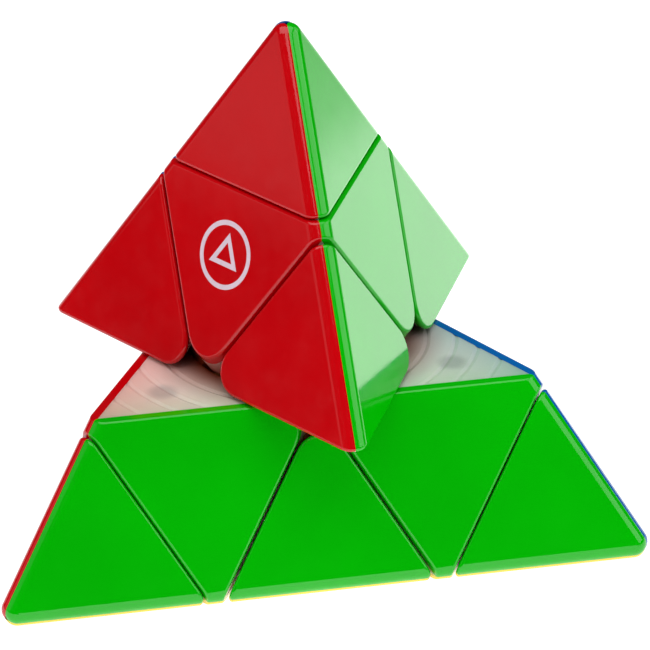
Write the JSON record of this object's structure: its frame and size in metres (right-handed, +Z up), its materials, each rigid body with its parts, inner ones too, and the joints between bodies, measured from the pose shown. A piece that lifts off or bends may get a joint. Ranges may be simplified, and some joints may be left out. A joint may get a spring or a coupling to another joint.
{
  "type": "pyramid twisty puzzle",
  "caption": "Magnetic pyramid twisty puzzle: glossy coloured caps on frosted inner frames, turning tips, and an upper layer stored part way through a turn.",
  "frame": {"origin": "centre of the core, where the four turning axes meet", "axes": "+Z up along the upper layer's turning axis; the puzzle lies on its yellow face, and its front face, green at the base, faces -Y"},
  "size_m": [0.0982, 0.0936, 0.081],
  "materials": {
    "cap_red": "glossy moulded red plastic",
    "cap_green": "glossy moulded green plastic",
    "cap_blue": "glossy moulded blue plastic",
    "cap_yellow": "glossy moulded yellow plastic",
    "frosted_frame": "frosted translucent plastic",
    "core_plastic": "white moulded plastic",
    "magnet": "nickel plating",
    "screw_steel": "zinc plated steel",
    "spring_steel": "drawn spring steel"
  },
  "bodies": {
    "base_layer": {"axis_screws": "screw_steel", "axis_springs": "spring_steel", "axis_washers": "screw_steel", "base_magnets": "magnet", "centre_back_cap_blue": "cap_blue", "centre_back_cap_red": "cap_red", "centre_back_cap_yellow": "cap_yellow", "centre_back_frame": "frosted_frame", "centre_left_cap_green": "cap_green", "centre_left_cap_red": "cap_red", "centre_left_cap_yellow": "cap_yellow", "centre_left_frame": "frosted_frame", "centre_right_cap_blue": "cap_blue", "centre_right_cap_green": "cap_green", "centre_right_cap_yellow": "cap_yellow", "centre_right_frame": "frosted_frame", "core_shell_lower": "core_plastic", "core_shell_upper": "core_plastic", "core_spider": "core_plastic", "edge_left_back_cap_red": "cap_red", "edge_left_back_cap_yellow": "cap_yellow", "edge_left_back_frame": "frosted_frame", "edge_left_right_cap_green": "cap_green", "edge_left_right_cap_yellow": "cap_yellow", "edge_left_right_frame": "frosted_frame", "edge_right_back_cap_blue": "cap_blue", "edge_right_back_cap_yellow": "cap_yellow", "edge_right_back_frame": "frosted_frame"},
    "top_layer": {"centre_top_cap_blue": "cap_blue", "centre_top_cap_green": "cap_green", "centre_top_cap_red": "cap_red", "centre_top_frame": "frosted_frame", "edge_top_back_cap_blue": "cap_blue", "edge_top_back_cap_red": "cap_red", "edge_top_back_frame": "frosted_frame", "edge_top_left_cap_green": "cap_green", "edge_top_left_cap_red": "cap_red", "edge_top_left_frame": "frosted_frame", "edge_top_right_cap_blue": "cap_blue", "edge_top_right_cap_green": "cap_green", "edge_top_right_frame": "frosted_frame", "top_layer_magnets": "magnet"},
    "tip_top": {"tip_top_cap_blue": "cap_blue", "tip_top_cap_green": "cap_green", "tip_top_cap_red": "cap_red", "tip_top_frame": "frosted_frame"},
    "tip_left": {"tip_left_cap_green": "cap_green", "tip_left_cap_red": "cap_red", "tip_left_cap_yellow": "cap_yellow", "tip_left_frame": "frosted_frame"},
    "tip_right": {"tip_right_cap_blue": "cap_blue", "tip_right_cap_green": "cap_green", "tip_right_cap_yellow": "cap_yellow", "tip_right_frame": "frosted_frame"},
    "tip_back": {"tip_back_cap_blue": "cap_blue", "tip_back_cap_red": "cap_red", "tip_back_cap_yellow": "cap_yellow", "tip_back_frame": "frosted_frame"}
  },
  "joints": [
    {"name": "top_layer_turn", "type": "hinge", "parent": "base_layer", "child": "top_layer", "pos_m": [0, 0, 0], "axis": [0, 0, 1], "continuous": true},
    {"name": "tip_top_turn", "type": "hinge", "parent": "top_layer", "child": "tip_top", "pos_m": [0, 0, 0], "axis": [0, 0, 1], "continuous": true},
    {"name": "tip_left_turn", "type": "hinge", "parent": "base_layer", "child": "tip_left", "pos_m": [0, 0, 0], "axis": [-0.8165, -0.4714, -0.3333], "continuous": true},
    {"name": "tip_right_turn", "type": "hinge", "parent": "base_layer", "child": "tip_right", "pos_m": [0, 0, 0], "axis": [0.8165, -0.4714, -0.3333], "continuous": true},
    {"name": "tip_back_turn", "type": "hinge", "parent": "base_layer", "child": "tip_back", "pos_m": [0, 0, 0], "axis": [0, 0.9428, -0.3333], "continuous": true}
  ]
}
